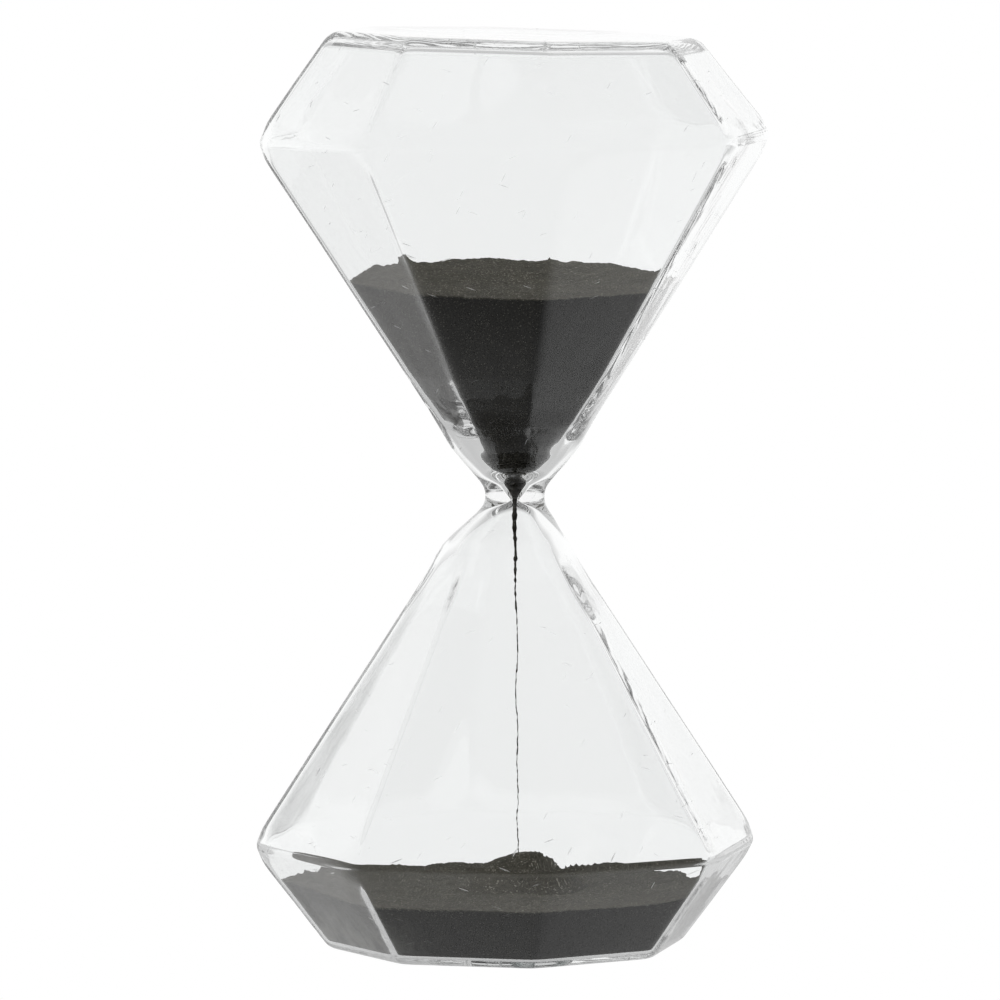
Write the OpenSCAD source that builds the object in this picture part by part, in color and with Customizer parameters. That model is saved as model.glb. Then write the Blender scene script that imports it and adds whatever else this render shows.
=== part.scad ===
// Faceted sand glass: two octagonal diamond-shaped bulbs on one waist, with sand inside.
// Millimetres, +Z up, origin at the centre of the end face that the glass stands on.

/* [Bulbs] */
// Distance across opposite corners at the widest line of the lower bulb
lower_girdle_d = 100; // [90:0.2:110]
// The same for the upper bulb, which blew out a little wider
upper_girdle_d = 102; // [90:0.2:110]
// Height of the lower bulb's crown, from its end face to its widest line
lower_crown_h = 20; // [18:0.5:24]
// Height of the lower bulb's long facets, from its widest line to the waist
lower_facet_h = 67; // [60:0.5:75]
// Distance across corners of the lower end face
lower_end_d = 69; // [60:1:76]
// Height of the upper bulb's long facets, from the waist to its widest line
upper_facet_h = 69; // [60:0.5:75]
// Height of the upper bulb's crown, from its widest line to its end face
upper_crown_h = 20; // [18:0.5:24]
// Distance across corners of the upper end face
upper_end_d = 72; // [60:1:76]

/* [Glass] */
// Thickness of the glass in the sloping facets
wall = 1.5; // [1.2:0.1:2.4]
// Thickness of the glass in the end faces
end_wall = 1.8; // [1.5:0.1:2.4]
// Depth of the shallow dish in each end face, which leaves a rim to stand on
dish_depth = 0.6; // [0.3:0.1:0.8]
// Radius of the rounded edges
edge_r = 2.5; // [1.5:0.5:4]
// Diameter of the filling hole and of the glass disc fused into it
seal_d = 12; // [8:0.5:14]

/* [Waist] */
// Outer diameter at the narrowest place
waist_d = 11.3; // [10:0.1:13]
// Radius of the hollow curve outside the waist
waist_curve_r = 4.2; // [3.5:0.1:4.8]
// Diameter of the throat that meters the sand
throat_d = 1.1; // [0.9:0.05:1.4]
// Radius of the curve that leads the sand into the throat
throat_curve_r = 4; // [2:0.5:6]
// Height of the thick waist on each side of the throat
waist_half_h = 8; // [7.5:0.5:9]

/* [Sand] */
// Level of the sand in the upper bulb, above the throat
upper_level = 41.5; // [35:0.5:55]
// Level of the sand bed in the lower bulb, above the end face
bed_level = 11.5; // [10:0.25:14]
// Height of the fresh heap's tip above the bed
heap_tip = 6.5; // [5:0.25:8]
// Depth of the crater that the upper sand runs down to
crater_depth = 12; // [8:0.5:12]
// Slope of the sand's own heaps, from level
repose = 31; // [28:1:34]
// Diameter of the falling stream
stream_d = 0.8; // [0.5:0.05:0.9]

/* [Hidden] */

sides = 8;
half_side = 180 / sides;
apothem_per_r = cos(half_side);
steps_per_half_side = 3;
outer_sharpness = 100;  // exponent of the rounded octagon: higher is sharper
inner_sharpness = 40;
arc_steps = 4;
glass_colour = [0.86, 0.9, 0.9, 0.35];
waist_colour = [0.78, 0.84, 0.84, 0.5];
sand_colour = [0.17, 0.17, 0.16];
moving_sand_colour = [0.3, 0.3, 0.28];

lower_girdle_r = lower_girdle_d / 2;
upper_girdle_r = upper_girdle_d / 2;
waist_z = lower_crown_h + lower_facet_h;
total_h = waist_z + upper_facet_h + upper_crown_h;
facet_root_r = 0.55 * waist_d;  // where the long facets would meet at the throat's height
facet_blend_h = 2.2 * waist_half_h;  // the facets are flat beyond this height from the throat
throat_r = throat_d / 2;
throat_h = 1;  // the straight bore below the throat's middle
funnel_r = 7;  // inner radius where the waist meets a bulb
gap = 0.1;  // between sand and glass
sand_gap = 0.06;  // between one body of sand and the next
seal_gap = 0.05;  // between the glass disc and its hole
heap_h = (heap_tip ^ 3 + crater_depth ^ 3) ^ (1 / 3);  // the heap once it holds the crater's sand
heap_base_z = bed_level + heap_tip - heap_h;
level_z = waist_z + upper_level;

// A unit vector along v.
function unit(v) = v / norm(v);

// The outward normal of a profile line from a to b, with the solid on its left.
function outward(a, b) = unit([b[1] - a[1], a[0] - b[0]]);

// Where two walls meet once they are moved inwards by t0 and t1 from their corner.
function inset(corner, n0, t0, n1, t1) =
    let (turn = n0[0] * n1[1] - n0[1] * n1[0])
    corner + [t1 * n0[1] - t0 * n1[1], t0 * n1[0] - t1 * n0[0]] / turn;

// Points of a rounded corner at b, between the lines a-b and b-c.
function rounded(a, b, c, r) =
    let (
        u = unit(a - b),
        v = unit(c - b),
        half = acos(u * v) / 2,
        reach = r / tan(half),
        centre = b + unit(u + v) * r / sin(half),
        from = b + u * reach - centre,
        to = b + v * reach - centre
    )
    [for (i = [0:arc_steps]) centre + r * unit(from + (to - from) * i / arc_steps)];

// A rounded octagon of corner radius 1, as a distance from the axis at an angle.
function octagon(angle, sharpness) =
    let (pulls = [for (i = [0:sides - 1]) max(0, cos(angle - 2 * half_side * i)) ^ sharpness])
    apothem_per_r * (pulls * [for (pull = pulls) 1]) ^ (-1 / sharpness);

// Angles round the axis, closer together near the corners.
ring_angles = [
    for (side = [0:sides - 1], i = [-steps_per_half_side:steps_per_half_side - 1])
    let (share = i / steps_per_half_side)
    (2 * side + 1 + sign(share) * share * share) * half_side
];

// One ring of points. A station is [corner radius, height, roundness], from octagon 0 to circle 1.
function ring(station, sharpness) = [
    for (angle = ring_angles)
    let (r = station[0] * (octagon(angle, sharpness) * (1 - station[2]) + station[2]))
    [r * cos(angle), r * sin(angle), station[1]]
];

// Faces between each ring and the next, and from the last to the first if closed.
function bands(rings, closed) =
    let (n = len(ring_angles))
    [
        for (i = [0:rings - (closed ? 1 : 2)], j = [0:n - 1])
        let (k = (i + 1) % rings, m = (j + 1) % n)
        each [[i * n + j, k * n + j, k * n + m], [i * n + j, k * n + m, i * n + m]]
    ];

// A solid through all the rings in order. It has flat faces on the first and the last ring, or
// it is closed in a loop from the last ring to the first, which leaves a hole along the axis.
module skin(rings, closed = false) {
    n = len(ring_angles);
    last = (len(rings) - 1) * n;
    caps = [[for (i = [0:n - 1]) i], [for (i = [n - 1:-1:0]) last + i]];
    polyhedron(
        [for (points = rings) each points],
        closed ? bands(len(rings), true) : concat(bands(len(rings), false), caps)
    );
}

// A solid of sand through stations that follow the inside of the glass.
module sand_stack(stations) {
    skin([for (station = stations) ring(station, inner_sharpness)]);
}

// Corner radius of the long facets at a distance from the throat.
function facet_r(facet_h, girdle_r, from_throat) =
    facet_root_r + (girdle_r - facet_root_r) * from_throat / facet_h;

// Outside of one bulb, from the middle of its end face to the waist. Heights run from the end face.
function outer_stations(crown_h, facet_h, end_r, girdle_r) =
    let (
        end = [end_r, 0],
        girdle = [girdle_r, crown_h],
        waist = [facet_root_r, crown_h + facet_h]
    )
    concat(
        [
            [seal_d / 2, dish_depth, 1],
            [end_r * 0.55, dish_depth * 0.7, 0.5],
            [end_r * 0.8, 0, 0]
        ],
        [for (p = rounded([0, 0], end, girdle, edge_r)) [p[0], p[1], 0]],
        [for (p = rounded(end, girdle, waist, edge_r)) [p[0], p[1], 0]],
        waist_stations(crown_h + facet_h, facet_r(facet_h, girdle_r, facet_blend_h),
            facet_r(facet_h, girdle_r, waist_half_h))
    );

// The stations from the flat facets to the round waist, in a bulb of height h.
function waist_stations(h, facet_end_r, waist_end_r) = [
    for (i = [0:arc_steps])
    let (
        share = i / arc_steps,
        from_throat = facet_blend_h + (waist_half_h - facet_blend_h) * share
    )
    [facet_end_r + (waist_end_r - facet_end_r) * share, h - from_throat, share * share * (3 - 2 * share)]
];

// Inside of one bulb, in the same order, moved inwards by clear.
function inner_stations(crown_h, facet_h, end_r, girdle_r, clear = 0) =
    let (
        flat = apothem_per_r,
        end = [end_r * flat, 0],
        girdle = [girdle_r * flat, crown_h],
        waist = [facet_root_r * flat, crown_h + facet_h],
        end_out = [0, -1],
        crown_out = outward(end, girdle),
        facet_out = outward(girdle, waist),
        end_in = inset(end, end_out, end_wall + clear, crown_out, wall + clear),
        girdle_in = inset(girdle, crown_out, wall + clear, facet_out, wall + clear),
        facet_slope = (girdle[0] - waist[0]) / facet_h,
        blend_z = crown_h + facet_h - facet_blend_h,
        blend_in = [girdle_in[0] - facet_slope * (blend_z - girdle_in[1]), blend_z],
        floor_in = [0, end_wall + clear]
    )
    concat(
        [
            [seal_d / 2, dish_depth + end_wall + clear, 1],
            [end_r * 0.5, dish_depth * 0.7 + end_wall + clear, 0.5],
            [end_r * 0.72, end_wall + clear, 0]
        ],
        [for (p = rounded(floor_in, end_in, girdle_in, edge_r)) [p[0] / flat, p[1], 0]],
        [for (p = rounded(end_in, girdle_in, blend_in, edge_r)) [p[0] / flat, p[1], 0]],
        waist_stations(crown_h + facet_h, blend_in[0] / flat, funnel_r - clear)
    );

// One bulb standing on its end face, as a shell that is open at the waist.
module bulb(crown_h, facet_h, end_r, girdle_r, filling_hole) {
    outside = outer_stations(crown_h, facet_h, end_r, girdle_r);
    inside = inner_stations(crown_h, facet_h, end_r, girdle_r);
    rings = concat(
        [for (station = outside) ring(station, outer_sharpness)],
        [for (i = [len(inside) - 1:-1:0]) ring(inside[i], inner_sharpness)]
    );
    skin(rings, closed = filling_hole);
}

// Half of a waist outline: an arc from the throat's height, tangent to a line to [end_r, end_h].
function waist_curve(r, curve_r, end_r, end_h) =
    let (
        centre = [r + curve_r, 0],
        away = [end_r, end_h] - centre,
        start = atan2(away[1], away[0]) + acos(curve_r / norm(away))
    )
    concat(
        [
            for (i = [0:2 * arc_steps])
            let (angle = 180 + (start - 180) * i / (2 * arc_steps))
            centre + curve_r * [cos(angle), sin(angle)]
        ],
        [[end_r, end_h]]
    );

// A waist outline from its lower end to its upper end.
function waist_outline(r, curve_r, lower_r, upper_r) =
    let (
        below = waist_curve(r, curve_r, lower_r, waist_half_h),
        above = waist_curve(r, curve_r, upper_r, waist_half_h)
    )
    concat([for (i = [len(below) - 1:-1:1]) [below[i][0], -below[i][1]]], above);

// A cone with its base down at z = 0.
module sand_cone(h) {
    rotate_extrude($fn = 96) polygon([[0, 0], [h / tan(repose), 0], [0, h]]);
}

module lower_bulb() {
    color(glass_colour)
        bulb(lower_crown_h, lower_facet_h, lower_end_d / 2, lower_girdle_r, filling_hole = true);
}

module upper_bulb() {
    color(glass_colour) translate([0, 0, total_h]) rotate([180, 0, 0])
        bulb(upper_crown_h, upper_facet_h, upper_end_d / 2, upper_girdle_r, filling_hole = false);
}

// Thick round waist with the trumpet-shaped throat through it.
module neck_tube() {
    outside = waist_outline(waist_d / 2, waist_curve_r, facet_r(lower_facet_h, lower_girdle_r, waist_half_h),
        facet_r(upper_facet_h, upper_girdle_r, waist_half_h));
    inside = waist_outline(throat_r, throat_curve_r, funnel_r, funnel_r);
    color(waist_colour) translate([0, 0, waist_z]) rotate_extrude($fn = 96)
        polygon(concat(outside, [for (i = [len(inside) - 1:-1:0]) inside[i]]));
}

// Glass disc that closes the filling hole in the end face the glass stands on.
module fill_seal() {
    color(waist_colour) translate([0, 0, dish_depth])
        cylinder(h = end_wall, r = seal_d / 2 - seal_gap, $fn = 64);
}

// The sand that stays against the upper bulb's walls, with a crater for the core.
module sand_upper() {
    bottom = total_h - waist_z - waist_half_h - sand_gap;
    inside = inner_stations(upper_crown_h, upper_facet_h, upper_end_d / 2, upper_girdle_r, gap);
    facets = [for (station = inside) if (station[1] >= total_h - waist_z - facet_blend_h) station];
    foot = facets[len(facets) - 1];
    slope = (upper_girdle_r - facet_root_r) / upper_facet_h;
    top = [facets[0][0] + slope * (upper_level - facet_blend_h), total_h - level_z, 0];
    body = [for (i = [0:len(facets) - 2]) facets[i]];
    color(sand_colour) translate([0, 0, total_h]) rotate([180, 0, 0]) difference() {
        sand_stack(concat([top], body, [[foot[0], bottom, 1]]));
        translate([0, 0, total_h - level_z - sand_gap]) sand_cone(crater_depth + 2 * sand_gap);
    }
}

// The sand that runs out first, above the throat: its top sinks and leaves a crater.
module sand_core() {
    color(moving_sand_colour) translate([0, 0, level_z]) rotate([180, 0, 0]) sand_cone(crater_depth);
}

// Sand in the funnel and the throat.
module sand_throat() {
    side = waist_curve(throat_r - gap, throat_curve_r + gap, funnel_r - gap, waist_half_h);
    color(sand_colour) translate([0, 0, waist_z]) rotate_extrude($fn = 64) polygon(concat(
        [[0, -throat_h], [throat_r - gap, -throat_h]], side, [[0, waist_half_h]]
    ));
}

module sand_stream() {
    foot = bed_level + heap_tip + sand_gap;
    top = waist_z - throat_h - sand_gap;
    color(sand_colour) translate([0, 0, foot]) cylinder(h = top - foot, r = stream_d / 2, $fn = 24);
}

// The bed in the lower bulb, with a pit for the heap's hidden foot.
module sand_bed() {
    inside = inner_stations(lower_crown_h, lower_facet_h, lower_end_d / 2, lower_girdle_r, gap);
    below = [for (station = inside) if (station[1] < bed_level) station];
    corner = below[len(below) - 1];
    above = inside[len(below)];
    share = (bed_level - corner[1]) / (above[1] - corner[1]);
    color(sand_colour) difference() {
        sand_stack(concat(below, [[corner[0] + (above[0] - corner[0]) * share, bed_level, 0]]));
        translate([0, 0, heap_base_z - sand_gap]) sand_cone(heap_h + 2 * sand_gap);
    }
}

// The fresh heap under the stream: a cone that comes up out of the bed as it grows.
module sand_heap() {
    color(moving_sand_colour) translate([0, 0, heap_base_z]) sand_cone(heap_h);
}

lower_bulb();
upper_bulb();
neck_tube();
fill_seal();
sand_upper();
sand_core();
sand_throat();
sand_stream();
sand_bed();
sand_heap();
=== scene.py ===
"""Looks of the sand glass: blown octagonal bulbs, fine black sand, and a plain pale studio.

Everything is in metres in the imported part's frame: +Z up, base rim on z = 0.
"""

import math

import bpy
import numpy as np
from mathutils import Matrix, Vector, noise


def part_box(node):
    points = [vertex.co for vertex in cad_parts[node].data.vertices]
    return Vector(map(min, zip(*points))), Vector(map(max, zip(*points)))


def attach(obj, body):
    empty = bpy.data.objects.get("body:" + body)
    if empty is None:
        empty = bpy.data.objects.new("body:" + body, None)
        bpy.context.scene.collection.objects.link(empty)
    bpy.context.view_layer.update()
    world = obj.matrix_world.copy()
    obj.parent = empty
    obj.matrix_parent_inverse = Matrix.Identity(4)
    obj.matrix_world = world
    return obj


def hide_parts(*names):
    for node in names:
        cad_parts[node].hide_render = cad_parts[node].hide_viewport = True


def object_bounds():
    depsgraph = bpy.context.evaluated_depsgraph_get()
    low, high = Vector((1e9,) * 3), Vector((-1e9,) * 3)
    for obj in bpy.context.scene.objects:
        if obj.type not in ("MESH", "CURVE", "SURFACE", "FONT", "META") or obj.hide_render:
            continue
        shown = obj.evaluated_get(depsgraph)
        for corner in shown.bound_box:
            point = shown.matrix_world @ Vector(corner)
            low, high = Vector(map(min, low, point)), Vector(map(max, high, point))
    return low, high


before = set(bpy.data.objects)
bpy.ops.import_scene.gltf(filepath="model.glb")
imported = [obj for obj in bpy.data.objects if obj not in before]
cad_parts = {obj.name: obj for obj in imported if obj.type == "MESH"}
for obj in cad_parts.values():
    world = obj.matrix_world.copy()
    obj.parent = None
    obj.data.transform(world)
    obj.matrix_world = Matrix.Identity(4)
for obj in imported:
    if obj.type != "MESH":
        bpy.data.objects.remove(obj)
cad_low, cad_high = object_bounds()

MM = 0.001

# ---------------------------------------------------------------- the glass, as designed
LOWER_GIRDLE_R = 50 * MM  # ideal corner radius of a bulb's widest line, its girdle
UPPER_GIRDLE_R = 51 * MM
LOWER_END_R = 34.5 * MM
UPPER_END_R = 36 * MM
LOWER_CROWN_H = 20 * MM
UPPER_CROWN_H = 19.9 * MM
WALL = 1.5 * MM
LOWER_END_WALL = 1.8 * MM
UPPER_END_WALL = 2.3 * MM
LOWER_RIM_FILLET = 3.5 * MM  # where an end face meets the crown facets, on the outside
UPPER_RIM_FILLET = 5 * MM
OUTER_GIRDLE_FILLET = 1.4 * MM
INNER_GIRDLE_FILLET = 0.8 * MM
OUTER_EDGE_R = 2.8 * MM  # rounding of the octagon's corners
INNER_EDGE_R = 2 * MM
BELT_SOFTENING = 7 * MM  # the corners of the girdle are this much rounder than the edges
BELT_SPAN = 2.4 * MM
DISH = 0.6 * MM
SEAL_R = 6 * MM
WAIST_R = 5.65 * MM
WAIST_CURVE_R = 4.2 * MM
THROAT_R = 0.55 * MM
FACET_ROOT_R = 6.2 * MM  # corner radius that the long facets would have at the throat's height
TANGENT_D = 2.75 * MM  # the waist's outer curve turns into a straight flare at this height
FLARE_SLOPE = 0.86
THROAT_DROP = 1 * MM  # the throat is this much below the middle of the waist
HOOD_WALL = 4.6 * MM  # extra glass over the lower bulb, which dies out downwards
HOOD_SPAN = 9 * MM
# Extra glass round the bowl over the throat, as pairs of height over the waist's middle and depth.
BOWL_WALL = [(0, 3.55 * MM), (2 * MM, 4.1 * MM), (4 * MM, 4.5 * MM), (5 * MM, 4.1 * MM),
             (6 * MM, 3.35 * MM), (7.3 * MM, 2.95 * MM), (9 * MM, 2.55 * MM), (11 * MM, 2.0 * MM),
             (15 * MM, 1.0 * MM), (20 * MM, 0.3 * MM), (24 * MM, 0)]

SIDES = 8
HALF_SIDE = math.pi / SIDES
FLAT = math.cos(HALF_SIDE)  # apothem of an octagon of corner radius 1

neck_low, neck_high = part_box("neck_tube")
WAIST_Z = (neck_low.z + neck_high.z) / 2
WAIST_HALF_H = (neck_high.z - neck_low.z) / 2
TOTAL_H = cad_high.z - 0.3 * MM  # the middle of the top; its left side rises to the full height
LEVEL_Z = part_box("sand_core")[1].z
BED_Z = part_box("sand_bed")[1].z
HEAP_BASE_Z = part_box("sand_heap")[0].z
HEAP_TOP_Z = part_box("sand_heap")[1].z
HEAP_BASE_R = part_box("sand_heap")[1].x
CRATER_BOTTOM_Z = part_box("sand_core")[0].z

VIEW_AZIMUTH = math.radians(13.5)
TO_RIGHT = np.array([math.cos(VIEW_AZIMUTH), math.sin(VIEW_AZIMUTH), 0])
TO_BACK = np.array([-math.sin(VIEW_AZIMUTH), math.cos(VIEW_AZIMUTH), 0])

LOWER_FACET_H = WAIST_Z - LOWER_CROWN_H
UPPER_FACET_H = TOTAL_H - UPPER_CROWN_H - WAIST_Z

# ---------------------------------------------------------------- how the bulbs miss each other
LEAN = 0.9 * MM
LEAN_SWAP = 5.6 * MM  # below the throat by this much, the lean changes side
LEAN_TURN = 3 * MM
UPPER_TWIST = math.radians(1.1)  # the upper bulb's turn against the lower one
GIRDLE_SLOPE = 0.011  # the upper bulb's widest line rises to the right
END_SLOPE = -0.026  # and its end face falls to the right

# ---------------------------------------------------------------- sampling
CORNER_CROWDING = 1.6
LINE_STEP = 1.2 * MM
ARC_STEPS = 10
WAIST_STEP = 0.25 * MM
WAIST_ZONE = 25 * MM  # heights nearer the throat than this follow the waist's own curves
ROUND_FROM = 18 * MM  # the facets start to fade into the round waist here
OUTER_SPREAD = 5  # how many steps the waist's curves are smoothed over
INNER_SPREAD = 3

# ---------------------------------------------------------------- the glass's unevenness
OUTER_SWELL = 0.12 * MM
OUTER_DRAG = 0.004 * MM
INNER_SWELL = 0.12 * MM
INNER_RIPPLE = 0.026 * MM
FINE_RIPPLE = 0.009 * MM
CROWN_CORDS = 0.045 * MM
CROWN_WAVES_FROM = 2 * MM
CALM_END_SHARE = 0.12
SCRATCH_PITCH = 0.4 * MM  # size of the cells that may hold one scratch each
SCRATCH_LENGTH = 5 * MM
SCRATCH_ROUGHNESS = 0.6
SCRATCH_RARITY = 0.993  # the share of the cells that hold none

# ---------------------------------------------------------------- the sand
GRAIN_GAP = 0.12 * MM
TAN_REPOSE = math.tan(math.radians(31))
CORE_R = 19.2 * MM
LEVEL_LIFT = 0.6 * MM  # the upper sand's middle is this much over the design's level
LEVEL_TO_BACK = 0.066  # slopes of its surface
LEVEL_TO_RIGHT = -0.012
LEVEL_DIP = 0.8 * MM
LEVEL_DIP_R = 9 * MM
BED_LIFT = 0.1 * MM
BED_TO_BACK = -0.018  # slope of the bed's surface
BANK_LEFT = 2.5 * MM  # how far the bed rises against the glass at its sides
BANK_RIGHT = 2.1 * MM
BANK_FROM = 24 * MM
BANK_TO = 44 * MM
HEAP_SHIFT = 3 * MM
HEAP_ROUND = 5 * MM
HEAP_R = 0.9 * (HEAP_TOP_Z - BED_Z) / TAN_REPOSE  # where the pit for the heap opens in the bed
PIT_CENTRE = HEAP_SHIFT * TO_RIGHT[:2]
PIECE_GAP = 0.06 * MM  # between pieces of sand that lie against each other
STREAM_TOP_R = 0.48 * MM
STREAM_THINNING = 0.39 * MM
STREAM_FOOT_SHIFT = 1.5 * MM
STREAM_STEPS = 330

# ---------------------------------------------------------------- pale streaks on the sand behind one crown facet
PALE_FACING = math.radians(225)  # where that facet faces
PALE_STARTS = 4.5 * MM  # depths behind the facet's inner face between which the pale streaks thicken
PALE_FULL = 1.8 * MM
PALE_AMOUNT = 0.8
PALE_FADE_H = 6 * MM  # it thins out over this height up to the bed's top

# ---------------------------------------------------------------- the studio
FLOOR_R = 12.0
CAMERA_D = 1.775
CAMERA_RISE = math.radians(5.1)
LENS = 332.7
AIM_RIGHT = -2.0 * MM
AIM_UP = -0.8 * MM


def smooth(low, high, value):
    """0 below low, 1 above high, and a smooth step between."""
    t = np.clip((value - low) / (high - low), 0, 1)
    return t * t * (3 - 2 * t)


def lean(z):
    """How far the blown glass is off its axis, towards TO_RIGHT: the bulbs don't quite line up."""
    return LEAN * np.tanh((z - WAIST_Z + LEAN_SWAP) / LEAN_TURN)


def settled(sheet):
    """A sheet as the hot glass really set: twisted, a little out of level, and off its axis."""
    x, y, z = sheet[..., 0], sheet[..., 1], sheet[..., 2]
    turn = UPPER_TWIST * smooth(WAIST_Z + 5 * MM, WAIST_Z + 30 * MM, z)
    x, y = x * np.cos(turn) - y * np.sin(turn), x * np.sin(turn) + y * np.cos(turn)
    heights = [WAIST_Z + 20 * MM, TOTAL_H - UPPER_CROWN_H, TOTAL_H]
    slope = np.interp(z, heights, [0, GIRDLE_SLOPE, END_SLOPE])
    z = z + (x * TO_RIGHT[0] + y * TO_RIGHT[1]) * slope
    return np.stack([x, y, z], axis=-1) + lean(z)[..., None] * TO_RIGHT


def side_angles(per_half_side):
    """Angles round the axis, closer together near the octagon's corners."""
    share = np.arange(-per_half_side, per_half_side) / per_half_side
    offsets = np.sign(share) * np.abs(share) ** CORNER_CROWDING * HALF_SIDE
    return np.concatenate([(2 * side + 1) * HALF_SIDE + offsets for side in range(SIDES)])


GLASS_ANGLES = side_angles(16)
SAND_ANGLES = side_angles(32)


def octagon(angles, sharpness):
    """Distance from the axis to a rounded octagon of corner radius 1."""
    normals = np.arange(SIDES) * 2 * HALF_SIDE
    pulls = np.maximum(0, np.cos(angles[:, None] - normals[None, :])) ** sharpness
    return FLAT * pulls.sum(axis=1) ** (-1 / sharpness)


def unit(v):
    return v / np.linalg.norm(v)


def outward(a, b):
    """Outward normal of a profile line from a to b, with the glass on its left."""
    return unit(np.array([b[1] - a[1], a[0] - b[0]]))


def inset(corner, n0, t0, n1, t1):
    """Where two faces meet once they are moved inwards by t0 and t1."""
    turn = n0[0] * n1[1] - n0[1] * n1[0]
    return corner + np.array([t1 * n0[1] - t0 * n1[1], t0 * n1[0] - t1 * n0[0]]) / turn


def rounded(a, b, c, r):
    """Points of a rounded corner at b, between the lines a-b and b-c."""
    u, v = unit(a - b), unit(c - b)
    half = math.acos(float(u @ v)) / 2
    reach = r / math.tan(half)
    centre = b + unit(u + v) * r / math.sin(half)
    start, stop = b + u * reach - centre, b + v * reach - centre
    return [centre + r * unit(start + (stop - start) * i / ARC_STEPS) for i in range(ARC_STEPS + 1)]


def filled(points, step):
    """The same polyline with every long stretch cut into pieces of at most step."""
    result = [points[0]]
    for a, b in zip(points[:-1], points[1:]):
        n = max(1, math.ceil(np.linalg.norm(b[:2] - a[:2]) / step))
        result += [a + (b - a) * i / n for i in range(1, n + 1)]
    return result


def facet_line(facet_h, d):
    """Corner radius of a bulb's long facets at a distance d from the throat."""
    girdle_r = np.where(facet_h == LOWER_FACET_H, LOWER_GIRDLE_R, UPPER_GIRDLE_R)
    return FACET_ROOT_R + (girdle_r - FACET_ROOT_R) * d / facet_h


def waist_outer(d, facet_h):
    """Outer radius at a distance d from the throat."""
    arc = WAIST_R + WAIST_CURVE_R - np.sqrt(np.maximum(0, WAIST_CURVE_R**2 - d**2))
    tangent_r = WAIST_R + WAIST_CURVE_R - math.sqrt(WAIST_CURVE_R**2 - TANGENT_D**2)
    flare = tangent_r + FLARE_SLOPE * (d - TANGENT_D)
    near = np.where(d < TANGENT_D, arc, flare)
    line = facet_line(facet_h, d)
    return np.where(near < line, near, line)


def waist_inner(d, facet_h, wall_r):
    """Inner radius at a distance d from the throat. The wall thickens to the waist, most of all
    under the upper bulb, where it leaves a bowl with a small funnel in its middle."""
    level = np.where(facet_h == LOWER_FACET_H, d, -d)
    line = facet_line(facet_h, d) - wall_r
    bowl = np.interp(d, *np.transpose(BOWL_WALL))
    hood = HOOD_WALL * np.exp((THROAT_DROP - d) / HOOD_SPAN) * (1 - smooth(18 * MM, 24 * MM, d))
    below = np.maximum(line - hood, THROAT_R)
    return np.where(level > 0, below, line - bowl)


def bulb_profile(end_r, crown_h, facet_h, girdle_r, rim_r, end_wall, has_hole):
    """Outer and inner outlines of a bulb, as rows of [corner radius, height, roundness].

    Heights run from the end face. Both outlines stop where the waist's own curves begin.
    """
    flat = np.array([FLAT, 1])
    end, girdle = np.array([end_r, 0]), np.array([girdle_r, crown_h])
    waist = np.array([FACET_ROOT_R, crown_h + facet_h])
    zone = np.array([facet_line(facet_h, WAIST_ZONE), crown_h + facet_h - WAIST_ZONE])
    crown_out = outward(end * flat, girdle * flat)
    facet_out = outward(girdle * flat, waist * flat)
    end_in = inset(end * flat, np.array([0, -1]), end_wall, crown_out, WALL) / flat
    girdle_in = inset(girdle * flat, crown_out, WALL, facet_out, WALL) / flat
    slope = (girdle_r - FACET_ROOT_R) / facet_h
    zone_in = np.array([girdle_in[0] - slope * (zone[1] - girdle_in[1]), zone[1]])
    middle = SEAL_R if has_hole else 0.4 * MM

    def outline(end_corner, girdle_corner, zone_corner, floor, rim_fillet, girdle_fillet):
        dish = [
            np.array([middle, floor + DISH, 1]),
            np.array([end_corner[0] * 0.3, floor + DISH * 0.95, 0.9]),
            np.array([end_corner[0] * 0.55, floor + DISH * 0.6, 0.5]),
            np.array([end_corner[0] * 0.75, floor + DISH * 0.1, 0.1]),
            np.array([end_corner[0] * 0.82, floor, 0]),
        ]
        rim = rounded(np.array([0, floor]), end_corner, girdle_corner, rim_fillet)
        belt = rounded(end_corner, girdle_corner, zone_corner, girdle_fillet)
        sides = [np.array([p[0], p[1], 0]) for p in rim + belt + [zone_corner]]
        return filled(dish + sides, LINE_STEP)

    outer = outline(end, girdle, zone, 0, rim_r, OUTER_GIRDLE_FILLET)
    inner = outline(end_in, girdle_in, zone_in, end_wall, rim_r - WALL, INNER_GIRDLE_FILLET)
    wall_r = zone[0] - zone_in[0]
    return outer, inner, wall_r


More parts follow.
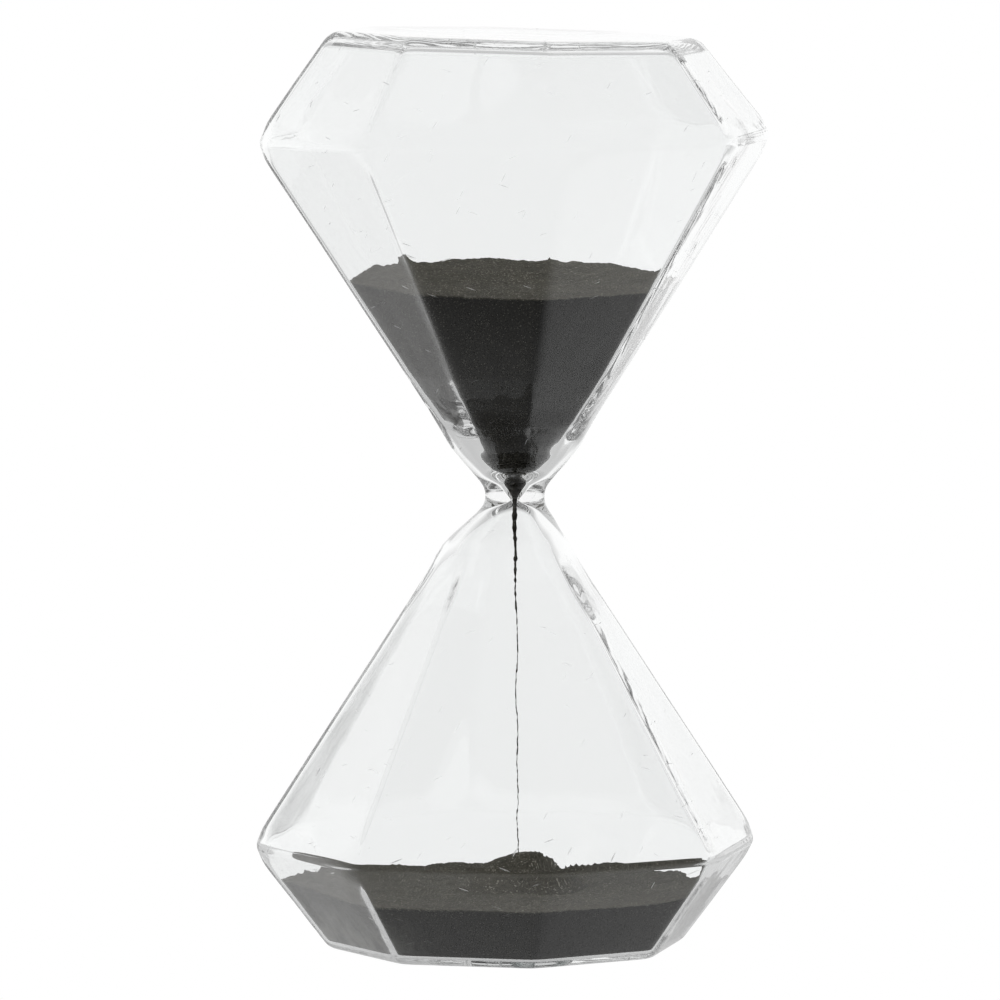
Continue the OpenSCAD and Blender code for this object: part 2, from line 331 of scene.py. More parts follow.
def meridians():
    """The whole vessel's outer and inner outlines from the lower end to the upper one.

    Rows are [corner radius, z, roundness].
    """
    lower_out, lower_in, lower_wall = bulb_profile(
        LOWER_END_R, LOWER_CROWN_H, LOWER_FACET_H, LOWER_GIRDLE_R, LOWER_RIM_FILLET, LOWER_END_WALL, True)
    upper_out, upper_in, upper_wall = bulb_profile(
        UPPER_END_R, UPPER_CROWN_H, UPPER_FACET_H, UPPER_GIRDLE_R, UPPER_RIM_FILLET, UPPER_END_WALL, False)
    steps = round((WAIST_ZONE - WAIST_STEP) / WAIST_STEP)
    d = np.arange(-steps, steps + 1) * WAIST_STEP
    reach = np.abs(d)
    facet_h = np.where(d < 0, LOWER_FACET_H, UPPER_FACET_H)
    wall_r = np.where(d < 0, lower_wall, upper_wall)
    roundness = smooth(-ROUND_FROM, -WAIST_HALF_H, -reach)
    result = []
    for lower, upper, radius, spread in (
        (lower_out, upper_out, waist_outer(reach, facet_h), OUTER_SPREAD),
        (lower_in, upper_in, waist_inner(reach, facet_h, wall_r), INNER_SPREAD),
    ):
        kernel = np.hanning(2 * spread + 3)[1:-1]
        padded = np.pad(radius, spread, mode="reflect", reflect_type="odd")
        eased = np.convolve(padded, kernel / kernel.sum(), mode="valid")
        waist = np.stack([eased, WAIST_Z + d, roundness], axis=1)
        above = [np.array([p[0], TOTAL_H - p[1], p[2]]) for p in reversed(upper)]
        result.append(np.vstack([lower, waist, above]))
    return result


def ring_at(reach, angles, z):
    """A level ring of points at a distance reach from the axis."""
    return np.stack([reach * np.cos(angles), reach * np.sin(angles), z + 0 * angles], axis=1)


def sheet_of(outline, edge_r, angles):
    """A grid of points, one ring to each row of the outline, with corners rounded to edge_r."""
    rings = []
    for radius, z, roundness in outline:
        from_belt = min(abs(z - LOWER_CROWN_H), abs(z - TOTAL_H + UPPER_CROWN_H))
        softened = edge_r + BELT_SOFTENING * math.exp(-((from_belt / BELT_SPAN) ** 2))
        sharpness = max(8, (radius / softened - 1) / math.tan(HALF_SIDE) ** 2)
        ratio = octagon(angles, sharpness) * (1 - roundness) + roundness
        rings.append(ring_at(radius * ratio, angles, z))
    return np.array(rings)


def grid_normals(grid):
    """Unit normals, away from the axis, of a grid that closes round it."""
    around = np.roll(grid, -1, axis=1) - np.roll(grid, 1, axis=1)
    along = np.gradient(grid, axis=0)
    normals = np.cross(around, along)
    length = np.linalg.norm(normals, axis=2, keepdims=True)
    return normals / np.maximum(length, 1e-12)


def waves(grid, size, seed):
    """Smooth noise from -1 to 1 on every point, with bumps of about the given size."""
    flat = grid.reshape(-1, 3) / size + np.array([seed * 17.3, seed * 5.1, seed * 9.7])
    return np.array([noise.noise(Vector(p)) for p in flat]).reshape(grid.shape[:2])


def streaks(grid, across, along, seed):
    """Noise drawn out along the facets, as the mould and the blowing leave in the glass."""
    angle = np.arctan2(grid[..., 1], grid[..., 0])
    radius = np.linalg.norm(grid[..., :2], axis=2)
    turn = np.stack([np.cos(angle), np.sin(angle)], axis=2) * np.maximum(radius, 20 * MM)[..., None]
    points = np.concatenate([turn / (across * MM), grid[..., 2:] / (along * MM)], axis=2)
    return waves(points, 1.0, seed)


def from_girdles(z):
    """How far a height is past the nearer widest line, towards that end."""
    return np.maximum(LOWER_CROWN_H - z, z - TOTAL_H + UPPER_CROWN_H)


def end_calm(sheet):
    """1 on the sides, and less on the end faces, which were pressed flat."""
    from_end = np.minimum(sheet[..., 2], TOTAL_H - sheet[..., 2])
    return CALM_END_SHARE + (1 - CALM_END_SHARE) * smooth(3 * MM, 9 * MM, from_end)


def outer_unevenness(sheet):
    """Long shallow waves of the outside, and a little of the mould's drag."""
    swell = OUTER_SWELL * waves(sheet, 24 * MM, 1)
    return (swell + OUTER_DRAG * streaks(sheet, 2.5, 14, 2)) * end_calm(sheet)


def inner_unevenness(sheet):
    """The inside follows the mould less closely: the wall swells, thins and ripples."""
    swell = INNER_SWELL * waves(sheet, 22 * MM, 3)
    ripple = INNER_RIPPLE * streaks(sheet, 4, 22, 4) + FINE_RIPPLE * streaks(sheet, 1.6, 9, 5)
    crown = smooth(-CROWN_WAVES_FROM, CROWN_WAVES_FROM, from_girdles(sheet[..., 2]))
    cords = CROWN_CORDS * waves(sheet * np.array([1, 1, 0.6]), 5 * MM, 7)
    return (swell + ripple + cords * crown) * end_calm(sheet)


def blown(outline, edge_r, angles, unevenness):
    """A sheet of the vessel with its unevenness and its lean."""
    sheet = sheet_of(outline, edge_r, angles)
    calm = smooth(3 * MM, 14 * MM, np.abs(sheet[..., 2] - WAIST_Z))
    return settled(sheet + grid_normals(sheet) * (unevenness(sheet) * calm)[..., None])


# ---------------------------------------------------------------- meshes
def bands(rows, cols, start=0, closed=False):
    """Quads between each ring of a grid and the next, and from the last to the first if closed."""
    i = np.arange(rows if closed else rows - 1)[:, None]
    j = np.arange(cols)[None, :]
    here, there = start + i * cols, start + (i + 1) % rows * cols
    k = (j + 1) % cols
    quads = np.stack([here + j, here + k, there + k, there + j], axis=-1)
    return quads.reshape(-1, 4).tolist()


def fan(ring, centre):
    """Triangles from a ring of point numbers to one point."""
    return [[a, b, centre] for a, b in zip(ring, np.roll(ring, -1).tolist())]


def solid(rings, closed):
    """Points and faces of a solid through rings in order, with a point in the middle of each end
    unless it closes in a loop."""
    rows, cols = rings.shape[:2]
    points = rings.reshape(-1, 3)
    faces = bands(rows, cols, closed=closed)
    if not closed:
        points = np.vstack([points, rings[0].mean(axis=0), rings[-1].mean(axis=0)])
        last = (rows - 1) * cols
        faces += fan(list(range(cols))[::-1], rows * cols)
        faces += fan(list(range(last, last + cols)), rows * cols + 1)
    return points, faces


def piece(name, points, faces, body, materials):
    """A visual piece that stands in for a CAD node, hung on the given body."""
    mesh = bpy.data.meshes.new(name)
    mesh.from_pydata(np.asarray(points).tolist(), [], faces)
    for material in materials:
        mesh.materials.append(material)
    mesh.shade_smooth()
    mesh.validate()
    made = bpy.data.objects.new(name, mesh)
    bpy.context.scene.collection.objects.link(made)
    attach(made, body)
    return made


# ---------------------------------------------------------------- node helpers
def node(tree, kind, inputs=None, **settings):
    """A shader node. Inputs are by name or number, and each is a value or an output to link."""
    made = tree.nodes.new(kind)
    for key, value in settings.items():
        setattr(made, key, value)
    for key, value in (inputs or {}).items():
        if isinstance(value, bpy.types.NodeSocket):
            tree.links.new(value, made.inputs[key])
        else:
            made.inputs[key].default_value = value
    return made


def blank_material(name):
    material = bpy.data.materials.new(name)
    material.use_nodes = True
    material.node_tree.nodes.clear()
    return material, material.node_tree


def once(make):
    """Makes a material the first time it is asked for, and gives the same one after that."""
    made = {}

    def given(*args):
        if args not in made:
            made[args] = make(*args)
        return made[args]

    return given


def ramp(tree, factor, stops):
    """A colour ramp. stops are (place, grey or colour)."""
    made = node(tree, "ShaderNodeValToRGB", {"Fac": factor})
    elements = made.color_ramp.elements
    while len(elements) < len(stops):
        elements.new(0.5)
    for element, (place, colour) in zip(elements, stops):
        element.position = place
        element.color = (*colour, 1) if isinstance(colour, tuple) else (colour, colour, colour, 1)
    return made.outputs["Color"]


def scratches(tree, place):
    """The roughness of sparse hairline scratches, which lie in three directions."""
    total = 0.0
    for turn, seed in ((0.5, 0.0), (1.2, 0.31), (1.9, 0.67)):
        turned = node(tree, "ShaderNodeMapping", {
            "Vector": place, "Location": (seed, seed, seed), "Rotation": (0.25, turn, 0.15),
            "Scale": (SCRATCH_PITCH, SCRATCH_LENGTH, SCRATCH_LENGTH)}, vector_type="TEXTURE")
        cells = node(tree, "ShaderNodeTexVoronoi", {"Vector": turned.outputs[0], "Scale": 1})
        near = node(tree, "ShaderNodeMapRange", {"Value": cells.outputs["Distance"], "From Min": 0.12,
                                                 "From Max": 0.3, "To Min": SCRATCH_ROUGHNESS,
                                                 "To Max": 0.0})
        pick = node(tree, "ShaderNodeSeparateColor", {"Color": cells.outputs["Color"]})
        chosen = node(tree, "ShaderNodeMath", {0: pick.outputs[0], 1: SCRATCH_RARITY},
                      operation="GREATER_THAN")
        mark = node(tree, "ShaderNodeMath", {0: near.outputs["Result"], 1: chosen.outputs[0]},
                    operation="MULTIPLY")
        total = node(tree, "ShaderNodeMath", {0: total, 1: mark.outputs[0]}, operation="MAXIMUM").outputs[0]
    return total


@once
def glass_material():
    """Clear soda glass. Lamps shine through it, so that it doesn't throw a solid shadow."""
    material, tree = blank_material("clear_glass")
    place = node(tree, "ShaderNodeTexCoord").outputs["Object"]
    bloom = node(tree, "ShaderNodeTexNoise", {"Vector": place, "Scale": 900, "Detail": 3})
    bump = node(tree, "ShaderNodeBump", {"Height": bloom.outputs["Fac"], "Strength": 0.15,
                                         "Distance": 0.005 * MM})
    smear = node(tree, "ShaderNodeTexNoise", {"Vector": place, "Scale": 60, "Detail": 4})
    rough = node(tree, "ShaderNodeMapRange", {"Value": smear.outputs["Fac"], "From Min": 0.55,
                                              "From Max": 0.8, "To Min": 0.0, "To Max": 0.03})
    worn = node(tree, "ShaderNodeMath", {0: rough.outputs["Result"], 1: scratches(tree, place)},
                operation="MAXIMUM")
    glass = node(tree, "ShaderNodeBsdfPrincipled", {
        "Base Color": (0.99, 0.997, 0.996, 1), "Roughness": worn.outputs[0],
        "IOR": 1.5, "Transmission Weight": 1.0, "Normal": bump.outputs["Normal"]})
    clear = node(tree, "ShaderNodeBsdfTransparent", {"Color": (0.96, 0.965, 0.96, 1)})
    is_shadow = node(tree, "ShaderNodeLightPath").outputs["Is Shadow Ray"]
    mix = node(tree, "ShaderNodeMixShader", {0: is_shadow, 1: glass.outputs[0], 2: clear.outputs[0]})
    node(tree, "ShaderNodeOutputMaterial", {"Surface": mix.outputs[0]})
    return material


@once
def joint_material():
    """The joint plane between a bulb and the waist, where the glass is fused and can't be seen."""
    material, tree = blank_material("fused_joint")
    clear = node(tree, "ShaderNodeBsdfTransparent")
    node(tree, "ShaderNodeOutputMaterial", {"Surface": clear.outputs[0]})
    return material


@once
def sand_material(name, has_pale_streaks):
    """Fine black sand: grains of uneven grey, some pale, with a broad soft mottle."""
    material, tree = blank_material(name)
    place = node(tree, "ShaderNodeTexCoord").outputs["Object"]
    grains = node(tree, "ShaderNodeTexVoronoi", {"Vector": place, "Scale": 5200})
    tone = node(tree, "ShaderNodeSeparateColor", {"Color": grains.outputs["Color"]})
    colour = ramp(tree, tone.outputs[0], [(0.0, (0.016, 0.0148, 0.0115)), (0.8, (0.043, 0.0395, 0.031)),
                                          (0.9, (0.043, 0.0395, 0.031)), (1.0, (0.24, 0.23, 0.2))])
    mottle = node(tree, "ShaderNodeTexNoise", {"Vector": place, "Scale": 160, "Detail": 4})
    shade = node(tree, "ShaderNodeMapRange", {"Value": mottle.outputs["Fac"], "From Min": 0.3,
                                              "From Max": 0.7, "To Min": 0.8, "To Max": 1.2})
    shaded = node(tree, "ShaderNodeVectorMath", {0: colour, "Scale": shade.outputs["Result"]},
                  operation="SCALE")
    finished = with_pale_streaks(tree, place, shaded.outputs[0]) if has_pale_streaks else shaded.outputs[0]
    bump = node(tree, "ShaderNodeBump", {"Height": grains.outputs["Distance"], "Strength": 0.4,
                                         "Distance": 0.08 * MM}, invert=True)
    surface = node(tree, "ShaderNodeBsdfPrincipled", {
        "Base Color": finished, "Roughness": 0.75, "Specular IOR Level": 0.15,
        "Normal": bump.outputs["Normal"]})
    node(tree, "ShaderNodeOutputMaterial", {"Surface": surface.outputs[0]})
    return material


def with_pale_streaks(tree, place, colour):
    """The colour with a pale colour laid on the sand in streaks, down the glass of the left crown facet."""
    stretched = node(tree, "ShaderNodeVectorMath", {0: place, 1: (1, 1, 0.25)}, operation="MULTIPLY")
    streak = node(tree, "ShaderNodeTexNoise", {"Vector": stretched.outputs[0], "Scale": 330, "Detail": 5})
    amount = ramp(tree, streak.outputs["Fac"], [(0.36, 0.1), (0.6, 1.0)])
    slope = FLAT * (LOWER_GIRDLE_R - LOWER_END_R) / LOWER_CROWN_H
    plane = [math.cos(PALE_FACING), math.sin(PALE_FACING), -slope]
    out = node(tree, "ShaderNodeVectorMath", {0: place, 1: plane}, operation="DOT_PRODUCT")
    skin = FLAT * LOWER_END_R - WALL
    mask = node(tree, "ShaderNodeMapRange", {"Value": out.outputs["Value"], "From Min": skin - PALE_STARTS,
                                             "From Max": skin - PALE_FULL, "To Min": 0.0,
                                             "To Max": PALE_AMOUNT})
    z = node(tree, "ShaderNodeSeparateXYZ", {0: place}).outputs["Z"]
    under = node(tree, "ShaderNodeMapRange", {"Value": z, "From Min": BED_Z - PALE_FADE_H,
                                              "From Max": BED_Z, "To Min": 1.0, "To Max": 0.0})
    level = node(tree, "ShaderNodeMath", {0: under.outputs["Result"], 1: amount}, operation="MULTIPLY")
    share = node(tree, "ShaderNodeMath", {0: mask.outputs["Result"], 1: level.outputs[0]},
                 operation="MULTIPLY")
    # pale streaks: a lighter colour on the sand behind the left crown facet, fading out upwards to the
    # bed's top
    mixed = node(tree, "ShaderNodeMix", {0: share.outputs[0]}, data_type="RGBA")
    tree.links.new(colour, mixed.inputs[6])
    mixed.inputs[7].default_value = (0.4, 0.39, 0.36, 1)
    return mixed.outputs[2]


# ---------------------------------------------------------------- the glass pieces
def annulus(here, there, cols):
    """Quads from the ring that starts at point here to the ring that starts at point there."""
    j = np.arange(cols)
    k = (j + 1) % cols
    return np.stack([here + j, here + k, there + k, there + j], axis=-1).tolist()


def shell(name, node_name, outer, inner, top, bottom):
    """A piece of the vessel's wall between its two sheets, which both run upwards and hold a point
    and its normal in each row. Each end is a "joint" to the next piece, a "hole", or a "pole"."""
    cols = outer.shape[1]
    n_out, n_in = len(outer), len(inner)
    points = np.vstack([outer[..., :3].reshape(-1, 3), inner[::-1, :, :3].reshape(-1, 3)])
    normals = np.vstack([outer[..., 3:].reshape(-1, 3), -inner[::-1, :, 3:].reshape(-1, 3)])
    out_top, in_top, in_foot = (n_out - 1) * cols, n_out * cols, (n_out + n_in - 1) * cols
    faces = bands(n_out, cols) + bands(n_in, cols, start=in_top)
    joints = []
    if top == "pole":
        poles = np.array([outer[-1, :, :3].mean(axis=0), inner[-1, :, :3].mean(axis=0)])
        faces += fan(list(range(out_top, out_top + cols)), len(points))
        faces += fan(list(range(in_top, in_top + cols))[::-1], len(points) + 1)
        points = np.vstack([points, poles])
        normals = np.vstack([normals, [[0, 0, 1], [0, 0, -1]]])
    else:
        joints += annulus(out_top, in_top, cols)
    if bottom == "hole":
        faces += annulus(in_foot, 0, cols)
    else:
        joints += annulus(in_foot, 0, cols)
    made = piece(name, points, faces + joints, "glass",
                 [glass_material(), joint_material()])
    first_joint = len(faces)
    for face in made.data.polygons[first_joint:]:
        face.material_index = 1
    made.data.normals_split_custom_set_from_vertices(normals.tolist())
    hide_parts(node_name)


def glass_pieces(outer, inner):
    """The two bulbs and the waist, cut at the joint planes out of the vessel's two sheets."""
    outer_sheet = blown(outer, OUTER_EDGE_R, GLASS_ANGLES, outer_unevenness)
    inner_sheet = blown(inner, INNER_EDGE_R, GLASS_ANGLES, inner_unevenness)
    outer_sheet = np.concatenate([outer_sheet, grid_normals(outer_sheet)], axis=2)
    inner_sheet = np.concatenate([inner_sheet, grid_normals(inner_sheet)], axis=2)
    low_joint, high_joint = WAIST_Z - WAIST_HALF_H, WAIST_Z + WAIST_HALF_H

    def part(low, high):
        return [sheet[(line[:, 1] > low - MM / 100) & (line[:, 1] < high + MM / 100)]
                for sheet, line in ((outer_sheet, outer), (inner_sheet, inner))]

    shell("lower_bulb_glass", "lower_bulb", *part(0, low_joint), top="joint", bottom="hole")
    shell("waist_glass", "neck_tube", *part(low_joint, high_joint), top="joint", bottom="joint")
    shell("upper_bulb_glass", "upper_bulb", *part(high_joint, TOTAL_H), top="pole", bottom="joint")


def seal_piece():
    """The disc of glass that closes the filling hole, with softened edges."""
    low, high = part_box("fill_seal")
    r, edge = high.x, 0.25 * MM
    profile = [(0.3 * r, low.z), (r - edge, low.z), (r - 0.3 * edge, low.z + 0.3 * edge), (r, low.z + edge),
               (r, high.z - edge), (r - 0.3 * edge, high.z - 0.3 * edge), (r - edge, high.z),
               (0.3 * r, high.z)]
    turns = np.arange(96) * math.tau / 96
    rings = np.array([np.stack([p * np.cos(turns), p * np.sin(turns), z + 0 * turns], axis=1)
                      for p, z in profile])
    points, faces = solid(rings, closed=False)
    made = piece("fill_seal_glass", points, faces, "glass", [glass_material()])
    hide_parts("fill_seal")


# ---------------------------------------------------------------- the sand pieces
def field(x, y, size, seed):
    """Smooth noise from -1 to 1 on the plane."""
    flat = np.stack([np.ravel(x) / size, np.ravel(y) / size, np.full(np.size(x), seed * 7.7)], axis=1)
    return np.array([noise.noise(Vector(p)) for p in flat]).reshape(np.shape(x))


def upper_top(x, y):
    """Height of the upper sand, which slopes up to the back and has a shallow dip in the middle."""
    away = x * TO_BACK[0] + y * TO_BACK[1]
    right = x * TO_RIGHT[0] + y * TO_RIGHT[1]
    dip = LEVEL_DIP * np.exp(-(x**2 + y**2) / LEVEL_DIP_R**2)
    slopes = LEVEL_TO_BACK * away + LEVEL_TO_RIGHT * right
    return LEVEL_Z + LEVEL_LIFT + slopes - dip + roughness(x, y, 1)


def bed_top(x, y):
    """Height of the lower bed, which falls a little to the back and is banked up near the sides."""
    away = x * TO_BACK[0] + y * TO_BACK[1]
    right = x * TO_RIGHT[0] + y * TO_RIGHT[1]
    banked = BANK_LEFT * smooth(BANK_FROM, BANK_TO, -right) + BANK_RIGHT * smooth(BANK_FROM, BANK_TO, right)
    return BED_Z + BED_LIFT + BED_TO_BACK * away + banked + roughness(x, y, 3)


def roughness(x, y, seed):
    """Low swells, small lumps and single grains."""
    swells = 0.1 * MM * field(x, y, 8 * MM, seed)
    lumps = 0.14 * MM * field(x, y, 2.2 * MM, seed + 0.3)
    return swells + lumps + 0.15 * MM * field(x, y, 0.5 * MM, seed + 0.6)


def trimmed(sheet, floor_z, top, count, rising_from):
    """The part of a sheet from floor_z, or from its first ring if that is None, up to the height
    that top(x, y) gives. Rows from rising_from on are the ones that only rise."""
    cols = sheet.shape[1]
    result = np.zeros((count, cols, 3))
    for j in range(cols):
        line = sheet[:, j]
        length = np.concatenate([[0], np.cumsum(np.linalg.norm(np.diff(line, axis=0), axis=1))])
        rise, along = line[rising_from:, 2], length[rising_from:]
        end = np.interp(top(0, 0), rise, along)
        for _ in range(4):
            x, y = (np.interp(end, length, line[:, a]) for a in (0, 1))
            end = np.interp(top(x, y), rise, along)
        start = 0 if floor_z is None else np.interp(floor_z, rise, along)
        steps = np.linspace(start, end, count)
        result[:, j] = np.stack([np.interp(steps, length, line[:, a]) for a in range(3)], axis=1)
    return result


def top_rings(contact, inner_r, centre, top, count):
    """Rings from the line where sand meets glass in to a circle, on the surface top(x, y)."""
    turns = np.arctan2(contact[:, 1], contact[:, 0])
    rim = np.stack([centre[0] + inner_r * np.cos(turns), centre[1] + inner_r * np.sin(turns)], axis=1)
    rings = []
    for share in np.linspace(0, 1, count + 1)[1:]:
        xy = contact[:, :2] * (1 - share) + rim * share
        rings.append(np.column_stack([xy, top(xy[:, 0], xy[:, 1])]))
    return np.array(rings)


def cone_rings(rim, apex, count):
    """Rings down a cone from a rim to just short of its apex."""
    return np.array([rim + (apex - rim) * share for share in np.linspace(0, 0.98, count + 1)[1:]])


def sand_sheet(inner):
    """The inside of the glass, moved in by the gap that the sand's grains leave."""
    sheet = blown(inner, INNER_EDGE_R, SAND_ANGLES, inner_unevenness)
    return sheet - grid_normals(sheet) * GRAIN_GAP


def upper_sand(skin_rows, fine):
    """The sand against the upper bulb, with the crater for the core. Gives its crater's rings."""
    skin = trimmed(skin_rows, WAIST_Z + WAIST_HALF_H + PIECE_GAP, upper_top, 90, 0)
    top = top_rings(skin[-1], CORE_R + 0.05 * MM, (0, 0), upper_top, 26)
    top = np.concatenate([top, top_rings(top[-1], CORE_R, (0, 0), upper_top, 1)])
    crater = cone_rings(top[-1], np.array([0, 0, CRATER_BOTTOM_Z]), 26)
    points, faces = solid(np.concatenate([skin, top, crater]), closed=False)
    made = piece("upper_sand", points, faces, "glass", [fine])
    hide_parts("sand_upper")
    return np.concatenate([[top[-1]], crater])


def sinking_sand(crater, fine):
    """The core that sinks, which fills the crater."""
    lift = np.array([0, 0, 0.01 * MM])
    wall = crater[::-1] + lift
    centre = np.array([top_rings(crater[0], CORE_R * share, (0, 0), upper_top, 1)[0]
                       for share in (0.998, *np.linspace(0.96, 0.02, 26))])
    wall = wall * np.array([0.9995, 0.9995, 1])
    points, faces = solid(np.concatenate([wall, centre]), closed=False)
    made = piece("sinking_sand", points, faces, "running_sand", [fine])
    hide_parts("sand_core")


def throat_sand(skin_rows, fine):
    """The sand in the funnel and the throat."""
    funnel = trimmed(skin_rows, WAIST_Z - THROAT_DROP, lambda x, y: WAIST_Z + WAIST_HALF_H, 60, 0)
    points, faces = solid(funnel, closed=False)
    made = piece("throat_sand", points, faces, "glass", [fine])
    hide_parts("sand_throat")


def bed_sand(skin_rows):
    """The bed in the lower bulb, with a pit for the heap."""
    rim_row = int(np.argmin(skin_rows[:, 0, 2]))
    skin = trimmed(skin_rows, None, bed_top, 70, rim_row)
    top = top_rings(skin[-1], HEAP_R + 0.05 * MM, PIT_CENTRE, bed_top, 40)
    top = np.concatenate([top, top_rings(top[-1], HEAP_R, PIT_CENTRE, bed_top, 1)])
    pit_floor = np.array([*PIT_CENTRE, HEAP_BASE_Z - PIECE_GAP])
    base = top[-1].copy()
    base[:, :2] = PIT_CENTRE + (base[:, :2] - PIT_CENTRE) / HEAP_R * HEAP_BASE_R
    base[:, 2] = HEAP_BASE_Z - PIECE_GAP
    slope = np.array([top[-1] + (base - top[-1]) * share for share in np.linspace(0, 1, 10)[1:]])
    floor_rings = np.array([base + (pit_floor - base) * share for share in (0.5, 0.95)])
    points, faces = solid(np.concatenate([skin, top, slope, floor_rings]), closed=False)
    # black sand with pale streaks laid on it behind the left crown facet
    streaked_sand = sand_material("streaked_black_sand", True)
    made = piece("bed_sand", points, faces, "glass", [streaked_sand])
    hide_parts("sand_bed")


def sand_pieces(inner):
    fine = sand_material("black_sand", False)
    sheet = sand_sheet(inner)
    z = inner[:, 1]
    upper_rows = sheet[z > WAIST_Z - 1.2 * MM]
    crater = upper_sand(upper_rows, fine)
    sinking_sand(crater, fine)
    throat_sand(upper_rows, fine)
    bed_sand(sheet[z < WAIST_Z - WAIST_ZONE])
    heap_piece(fine)
    stream_piece(fine)


def heap_height(x, y):
    """Height of the heap's surface: a rounded dome, steeper to the right, down to its base."""
    dx, dy = x - PIT_CENTRE[0], y - PIT_CENTRE[1]
    reach = np.sqrt(dx**2 + dy**2 + HEAP_ROUND**2) - HEAP_ROUND
    rightness = (dx * TO_RIGHT[0] + dy * TO_RIGHT[1]) / np.maximum(np.hypot(dx, dy), MM)
    slope = TAN_REPOSE * (1.15 + 0.2 * rightness)
    rough = 0.12 * MM * field(x, y, 3 * MM, 5) + 0.1 * MM * field(x, y, 0.6 * MM, 6)
    rim_reach = math.hypot(HEAP_BASE_R, HEAP_ROUND) - HEAP_ROUND
    surplus = np.maximum(0, HEAP_TOP_Z - slope * rim_reach - HEAP_BASE_Z)
    skirt = surplus * smooth(0.45 * HEAP_BASE_R, HEAP_BASE_R, np.hypot(dx, dy))
    return HEAP_TOP_Z - slope * reach - skirt + rough * smooth(0, 2 * MM, reach)


def heap_piece(material):
    """The heap under the stream, from its level base up to its rounded top."""
    turns = np.arange(160) * math.tau / 160
    middle = np.array([*PIT_CENTRE, 0])
    foot = middle + ring_at(HEAP_BASE_R, turns, HEAP_BASE_Z)
    rings = [centre_ring(foot, 0.05), foot]
    for share in np.linspace(1, 0.01, 60)[1:]:
        ring = middle + ring_at(HEAP_BASE_R * share, turns, 0)
        ring[:, 2] = np.maximum(heap_height(ring[:, 0], ring[:, 1]), HEAP_BASE_Z + 0.1 * MM)
        rings.append(ring)
    points, faces = solid(np.array(rings), closed=False)
    made = piece("heap_sand", points, faces, "growing_heap", [material])
    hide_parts("sand_heap")


def centre_ring(ring, share):
    """The ring drawn in towards its middle."""
    middle = ring.mean(axis=0)
    return middle + (ring - middle) * share


def stream_piece(material):
    """The falling thread of sand, which thins, clots and wavers as it falls."""
    top, foot = WAIST_Z - 0.8 * MM, HEAP_TOP_Z - 0.3 * MM
    turns = np.arange(10) * math.tau / 10
    start_shift = float(lean(np.array(WAIST_Z)))

    def wander(z, size, seed):
        return noise.noise(Vector((z / size, seed, 0)))

    rings = []
    for z in np.linspace(foot, top, STREAM_STEPS):
        fallen = (top - z) / (top - foot)
        shift = start_shift + (STREAM_FOOT_SHIFT - start_shift) * fallen
        waver = 0.5 * MM * fallen * wander(z, 9 * MM, 3.1)
        waver += 0.12 * MM * smooth(0, 0.2, fallen) * wander(z, 1.4 * MM, 8.2)
        thin = STREAM_TOP_R - STREAM_THINNING * smooth(0, 0.4, fallen)
        clotted = 1 + (0.35 + 0.75 * smooth(0, 0.3, fallen)) * wander(z, 0.7 * MM, 1.7)
        rings.append((shift + waver) * TO_RIGHT + ring_at(thin * max(0.3, clotted), turns, 0)
                     + np.array([0, 0, z]))
    points, faces = solid(np.array(rings), closed=False)
    made = piece("stream_sand", points, faces, "glass", [material])
    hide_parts("sand_stream")


# ---------------------------------------------------------------- the table, light and camera
def floor():
    """A white table that glows evenly. Only in reflections is its near side painted grey: a painted shade
    that dims what the glass mirrors of it, as if the camera's side of the room were dimmer.
    """
    turns = np.arange(64) * math.tau / 64
    ring = ring_at(FLOOR_R, turns, -0.1 * MM)
    mesh = bpy.data.meshes.new("floor")
    mesh.from_pydata(ring.tolist(), [], [list(range(64))])
    material, tree = blank_material("white_table")
    place = node(tree, "ShaderNodeTexCoord").outputs["Object"]
    away = node(tree, "ShaderNodeVectorMath", {0: place, 1: TO_BACK.tolist()}, operation="DOT_PRODUCT")
    place_back = node(tree, "ShaderNodeMath", {0: away.outputs["Value"], 1: 0.1}, operation="ADD")
    # painted shade: grey near the object and white further off, used only by rays that a reflection sends
    # here
    share = ramp(tree, place_back.outputs[0], [
        (0.02, 0.12), (0.055, 0.38), (0.09, 0.65), (0.2, 0.55), (0.35, 0.55), (0.6, 1.0)])
    painted_reflection_shade = node(tree, "ShaderNodeEmission", {"Color": share})
    seen = node(tree, "ShaderNodeEmission", {"Strength": 1.0})
    bounced = node(tree, "ShaderNodeLightPath").outputs["Glossy Depth"]
    mix = node(tree, "ShaderNodeMixShader", {0: bounced, 1: seen.outputs[0], 2: painted_reflection_shade.outputs[0]})
    node(tree, "ShaderNodeOutputMaterial", {"Surface": mix.outputs[0]})
    mesh.materials.append(material)
    made = bpy.data.objects.new("floor", mesh)
    bpy.context.scene.collection.objects.link(made)


def sun(name, energy, spread, rotation):
    """A soft lamp far away that doesn't show in the glass. spread is its width in degrees."""
    lamp = bpy.data.lights.new(name, "SUN")
    lamp.energy = energy
    lamp.angle = math.radians(spread)
    made = bpy.data.objects.new(name, lamp)
    made.rotation_euler = rotation
    made.visible_glossy = False
    made.visible_transmission = False
    bpy.context.scene.collection.objects.link(made)


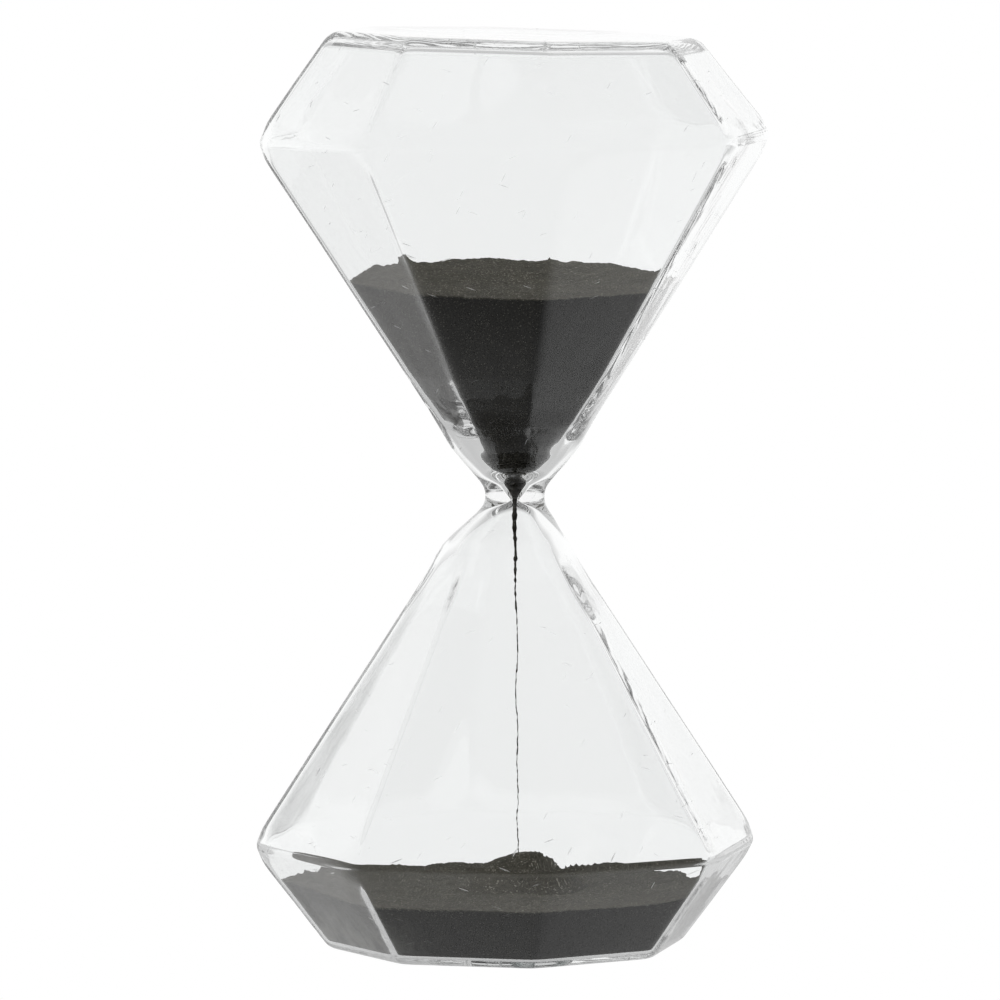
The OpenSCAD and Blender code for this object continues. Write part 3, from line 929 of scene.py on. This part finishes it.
def studio():
    """A white room, dimmer on the camera's side and high up, with one lamp above and one at the left."""
    world = bpy.data.worlds.new("studio")
    bpy.context.scene.world = world
    world.use_nodes = True
    tree = world.node_tree
    tree.nodes.clear()
    way = node(tree, "ShaderNodeTexCoord").outputs["Generated"]
    away = node(tree, "ShaderNodeVectorMath", {0: way, 1: TO_BACK.tolist()}, operation="DOT_PRODUCT")
    share = node(tree, "ShaderNodeMapRange", {"Value": away.outputs["Value"], "From Min": -0.3,
                                              "From Max": 0.6, "To Min": 0.17, "To Max": 1.0})
    up = node(tree, "ShaderNodeSeparateXYZ", {0: way}).outputs["Z"]
    height = node(tree, "ShaderNodeMapRange", {"Value": up, "From Min": 0.3, "From Max": 0.6,
                                               "To Min": 1.0, "To Max": 0.6})
    light = node(tree, "ShaderNodeMath", {0: share.outputs["Result"], 1: height.outputs["Result"]},
                 operation="MULTIPLY")
    back = node(tree, "ShaderNodeBackground", {"Color": light.outputs[0], "Strength": 1.0})
    node(tree, "ShaderNodeOutputWorld", {"Surface": back.outputs[0]})
    sun("softbox", energy=4.8, spread=50, rotation=(math.radians(25), math.radians(-15), 0))
    from_left = Vector(TO_RIGHT + 0.1 * TO_BACK).to_track_quat("-Z", "Y").to_euler()
    sun("left_window", energy=2.2, spread=60, rotation=from_left)


def camera():
    """The photograph's view: nearly level, between a flat side and a corner, with a long lens."""
    data = bpy.data.cameras.new("camera")
    data.lens = LENS
    data.sensor_width = 36
    data.clip_end = 50
    made = bpy.data.objects.new("camera", data)
    right, away = Vector(TO_RIGHT), Vector(TO_BACK)
    up = Vector((0, 0, 1))
    throat = up * WAIST_Z
    back = up * math.sin(CAMERA_RISE) - away * math.cos(CAMERA_RISE)
    made.location = throat + back * CAMERA_D
    look = (throat + right * AIM_RIGHT + up * AIM_UP - made.location).normalized()
    side = look.cross(up).normalized()
    turn = Matrix((side, side.cross(look), -look)).transposed()
    made.rotation_mode = "QUATERNION"
    made.rotation_quaternion = turn.to_quaternion()
    bpy.context.scene.collection.objects.link(made)
    bpy.context.scene.camera = made


def render_settings():
    """Light bounces, of which thick clear glass needs many, and plain colours."""
    scene = bpy.context.scene
    scene.view_settings.view_transform = "Standard"
    scene.cycles.max_bounces = 96
    scene.cycles.transmission_bounces = 96
    scene.cycles.glossy_bounces = 96
    scene.cycles.diffuse_bounces = 4
    scene.cycles.transparent_max_bounces = 32
    scene.cycles.caustics_reflective = False
    scene.cycles.caustics_refractive = False
    scene.cycles.use_denoising = True


camera()
outer_line, inner_line = meridians()
glass_pieces(outer_line, inner_line)
seal_piece()
sand_pieces(inner_line)
floor()
studio()
render_settings()
